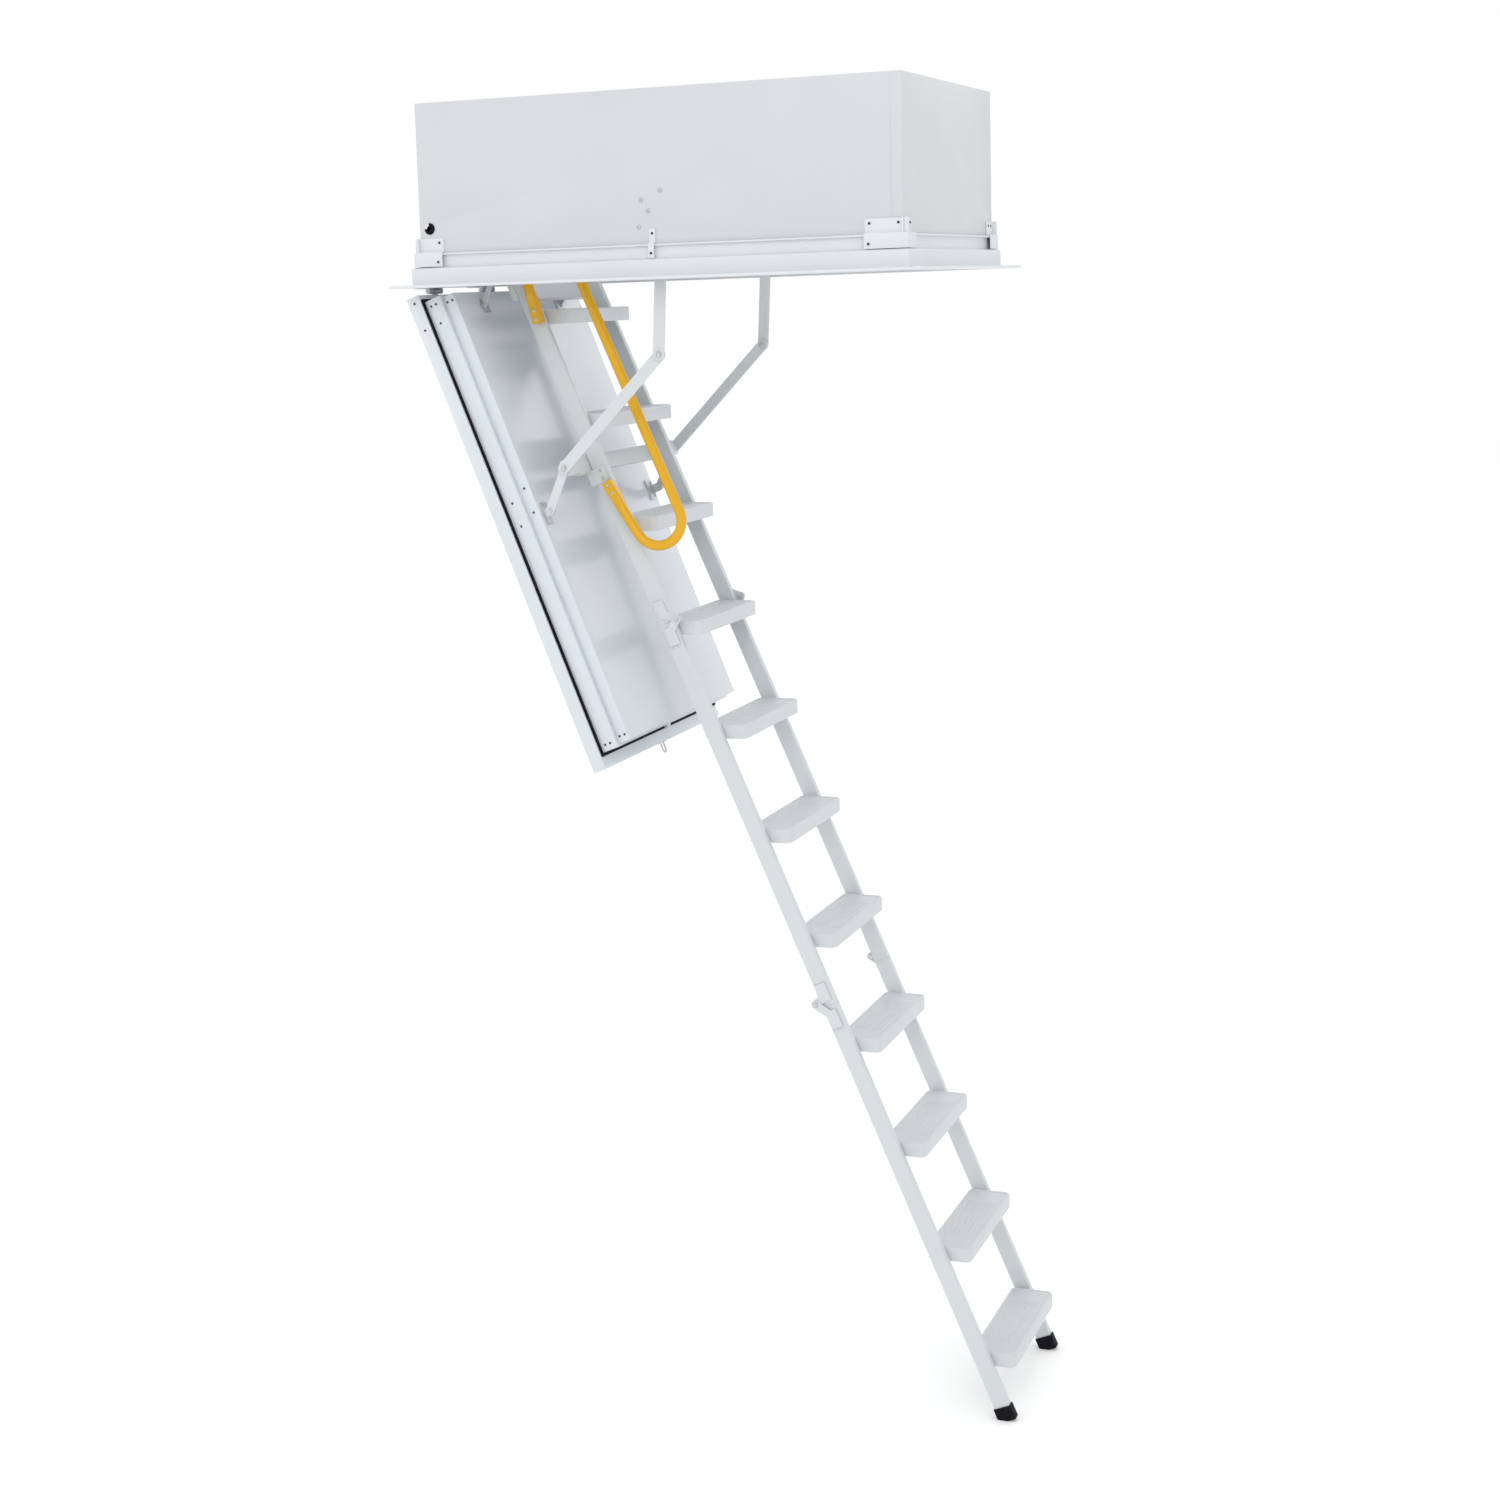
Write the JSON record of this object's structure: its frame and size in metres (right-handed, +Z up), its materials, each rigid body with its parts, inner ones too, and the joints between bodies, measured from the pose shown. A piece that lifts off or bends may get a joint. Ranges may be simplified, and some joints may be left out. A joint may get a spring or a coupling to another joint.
{
  "type": "attic ladder",
  "caption": "Folding loft ladder: an open box casing with a flanged ceiling frame, a hinged insulated hatch, and a sectional zig-zag ladder with flat treads, linked arms and a hoop handrail.",
  "frame": {"origin": "centre of the casing opening, in the plane of the ceiling flange's underside", "axes": "+X along the casing from the hinge end to the free end, +Y across it to the far side, +Z up"},
  "size_m": [1.4543, 0.918, 3.2265],
  "materials": {
    "casing_sheet": "satin white powder coat",
    "base_rail": "satin white powder coat",
    "hatch_panel": "gloss white coat",
    "seal": "matt",
    "ladder_paint": "satin pale blue-grey powder coat",
    "tread_paint": "satin, pressed ribs",
    "handrail_paint": "gloss amber coat",
    "zinc": "bright zinc plate",
    "dark_screw": "black oxide",
    "feet": "matt",
    "grommet": "matt"
  },
  "bodies": {
    "casing": {"near_side_panel": "casing_sheet", "far_side_panel": "casing_sheet", "hinge_end_panel": "casing_sheet", "free_end_panel": "casing_sheet", "long_base_rails": "base_rail", "end_base_rails": "base_rail", "rail_brackets": "base_rail", "frame_screws": "dark_screw", "fixing_grommets": "grommet", "arm_brackets": "zinc", "arm_bracket_bolts": "zinc", "frame_hinge_leaves": "zinc", "hinge_pins": "zinc", "latch_strike": "zinc"},
    "hatch": {"hatch_outer_leaf": "hatch_panel", "hatch_seal": "seal", "lower_tray": "hatch_panel", "upper_tray": "hatch_panel", "hatch_screws": "dark_screw", "hatch_hinge_leaves": "zinc", "link_brackets": "zinc", "link_bracket_pins": "zinc", "latch_housing": "zinc", "pull_eye": "zinc"},
    "latch": {"latch_bolt": "zinc"},
    "lower_link_pair": {"lower_links": "ladder_paint"},
    "upper_link_pair": {"upper_links": "ladder_paint"},
    "upper_arm_pair": {"upper_arms": "ladder_paint", "elbow_bolts": "zinc"},
    "lower_arm_pair": {"lower_arms": "ladder_paint", "arm_end_bolts": "zinc"},
    "ladder_upper": {"upper_near_stringer": "ladder_paint", "upper_far_stringer": "ladder_paint", "tread_02": "tread_paint", "tread_03": "tread_paint", "tread_04": "tread_paint", "crossbars": "ladder_paint", "crossbar_gussets": "ladder_paint", "link_pins": "zinc", "handrail": "handrail_paint", "ladder_screws": "zinc", "upper_fold_leaves": "ladder_paint", "upper_fold_pins": "zinc"},
    "ladder_middle": {"middle_near_stringer": "ladder_paint", "middle_far_stringer": "ladder_paint", "tread_05": "tread_paint", "tread_06": "tread_paint", "tread_07": "tread_paint", "tread_08": "tread_paint", "middle_fold_leaves": "ladder_paint", "lower_fold_pins": "zinc"},
    "ladder_lower": {"lower_near_stringer": "ladder_paint", "lower_far_stringer": "ladder_paint", "tread_09": "tread_paint", "tread_10": "tread_paint", "tread_11": "tread_paint", "tread_12": "tread_paint", "lower_fold_leaves": "ladder_paint", "feet": "feet"}
  },
  "joints": [
    {"name": "hatch_swing", "type": "hinge", "parent": "casing", "child": "hatch", "pos_m": [-0.624, 0, -0.008], "axis": [0, -1, 0], "range_deg": [0, 54.5]},
    {"name": "link_swing", "type": "hinge", "parent": "hatch", "child": "lower_link_pair", "pos_m": [-0.30497, 0, -0.54609], "axis": [0, -1, 0], "range_deg": [-43.4, 0]},
    {"name": "ladder_tilt", "type": "hinge", "parent": "lower_link_pair", "child": "ladder_upper", "pos_m": [-0.26256, 0, -0.44294], "axis": [0, -1, 0], "range_deg": [0, 43.4]},
    {"name": "upper_link_swing", "type": "hinge", "parent": "hatch", "child": "upper_link_pair", "pos_m": [-0.51853, 0, -0.04468], "axis": [0, -1, 0], "range_deg": [-43.4, 0]},
    {"name": "middle_fold", "type": "hinge", "parent": "ladder_upper", "child": "ladder_middle", "pos_m": [-0.03472, 0, -0.82349], "axis": [0, -1, 0], "range_deg": [0, 180]},
    {"name": "lower_fold", "type": "hinge", "parent": "ladder_middle", "child": "ladder_lower", "pos_m": [0.29982, 0, -1.77228], "axis": [0, -1, 0], "range_deg": [-180, 0]},
    {"name": "arm_swing", "type": "hinge", "parent": "casing", "child": "upper_arm_pair", "pos_m": [0.018, 0, 0.206], "axis": [0, -1, 0], "range_deg": [0, 78.8]},
    {"name": "elbow_bend", "type": "hinge", "parent": "upper_arm_pair", "child": "lower_arm_pair", "pos_m": [-0.004, 0, -0.1755], "axis": [0, -1, 0], "range_deg": [-115.3, 0]},
    {"name": "latch_slide", "type": "slide", "parent": "hatch", "child": "latch", "axis": [0.3649, 0, -0.9311], "range_m": [-0.012, 0]}
  ],
  "couplings": [
    {"joint": "link_swing", "follows": "hatch_swing", "ratio": -0.7963},
    {"joint": "ladder_tilt", "follows": "hatch_swing", "ratio": 0.7963},
    {"joint": "upper_link_swing", "follows": "hatch_swing", "ratio": -0.7963},
    {"joint": "lower_fold", "follows": "middle_fold", "ratio": -1},
    {"joint": "arm_swing", "follows": "hatch_swing", "ratio": 1.4453},
    {"joint": "elbow_bend", "follows": "hatch_swing", "ratio": -2.1139}
  ]
}
